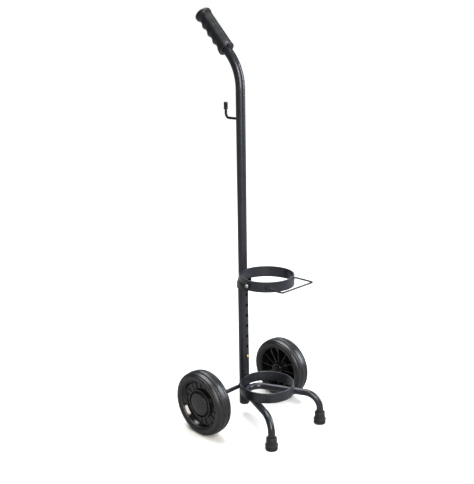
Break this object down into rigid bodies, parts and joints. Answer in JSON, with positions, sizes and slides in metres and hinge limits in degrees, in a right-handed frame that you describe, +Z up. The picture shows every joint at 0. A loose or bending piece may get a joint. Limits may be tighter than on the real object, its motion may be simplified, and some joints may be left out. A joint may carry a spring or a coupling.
{
  "type": "gas cylinder cart",
  "caption": "Two-wheeled hospital cart for one upright oxygen cylinder: telescoping pole with grip, two rings, bent-tube legs.",
  "frame": {"origin": "middle of the cart's outline, on the floor", "axes": "+Z up along the pole, +X along the axle, -Y towards the feet and the cylinder, +Y towards the user's grip"},
  "size_m": [0.306, 0.3058, 0.9417],
  "materials": {
    "frame_coating": "satin charcoal powder coat with a fine texture",
    "bracket_coating": "semi-gloss black coating",
    "wire_coating": "satin charcoal powder coat on wire",
    "axle_steel": "satin charcoal powder coat on a plain rod",
    "zinc": "bright zinc plate",
    "spring_steel": "oiled spring steel",
    "brass": "turned brass",
    "tip_rubber": "matt black moulded rubber",
    "tyre_rubber": "dark grey solid rubber",
    "hub_plastic": "glossy black moulded plastic",
    "cap_plastic": "satin dark grey moulded plastic",
    "plug_plastic": "matt black moulded plastic",
    "glide_plastic": "natural nylon",
    "grip_plastic": "satin black moulded grip",
    "hook_cap_plastic": "glossy black vinyl cap"
  },
  "bodies": {
    "frame": {"base_tube": "frame_coating", "base_plug": "plug_plastic", "guide_bush": "plug_plastic", "leg_tube": "frame_coating", "lower_ring": "frame_coating", "upper_ring": "frame_coating", "ring_bracket": "bracket_coating", "axle": "axle_steel", "axle_welds": "frame_coating", "arch_weld": "frame_coating", "seam_welds": "frame_coating", "bracket_bolt_left": "zinc", "bracket_bolt_right": "zinc", "ring_weld_left": "frame_coating", "ring_weld_right": "frame_coating", "foot_tip_left": "tip_rubber", "foot_tip_right": "tip_rubber", "foot_washer_left": "zinc", "foot_washer_right": "zinc", "axle_stop_left": "zinc", "axle_stop_right": "zinc", "inner_washer_left": "zinc", "inner_washer_right": "zinc", "outer_washer_left": "zinc", "outer_washer_right": "zinc", "push_nut_left": "zinc", "push_nut_right": "zinc"},
    "handle": {"upper_pole": "frame_coating", "pole_glide": "glide_plastic", "hand_grip": "grip_plastic", "hook_rod": "wire_coating", "hook_cap": "hook_cap_plastic", "button_spring": "spring_steel"},
    "button": {"snap_button": "brass"},
    "bail": {"bail_wire": "wire_coating"},
    "wheel_left": {"tyre_left": "tyre_rubber", "wheel_hub_left": "hub_plastic", "hub_bushing_left": "glide_plastic", "hub_cap_left": "cap_plastic"},
    "wheel_right": {"tyre_right": "tyre_rubber", "wheel_hub_right": "hub_plastic", "hub_bushing_right": "glide_plastic", "hub_cap_right": "cap_plastic"}
  },
  "joints": [
    {"name": "handle_slide", "type": "slide", "parent": "frame", "child": "handle", "axis": [0, 0, 1], "range_m": [0, 0.153]},
    {"name": "button_press", "type": "slide", "parent": "handle", "child": "button", "axis": [0, 1, 0], "range_m": [0, 0.004], "stiffness_N_per_m": 400, "springref_m": -0.002, "deforming": ["button_spring"]},
    {"name": "bail_swing", "type": "hinge", "parent": "frame", "child": "bail", "pos_m": [0, -0.09034, 0.35375], "axis": [1, 0, 0], "range_deg": [-90, 90]},
    {"name": "wheel_left_spin", "type": "hinge", "parent": "frame", "child": "wheel_left", "pos_m": [-0.133, 0.02566, 0.075], "axis": [1, 0, 0], "continuous": true},
    {"name": "wheel_right_spin", "type": "hinge", "parent": "frame", "child": "wheel_right", "pos_m": [0.133, 0.02566, 0.075], "axis": [1, 0, 0], "continuous": true}
  ]
}
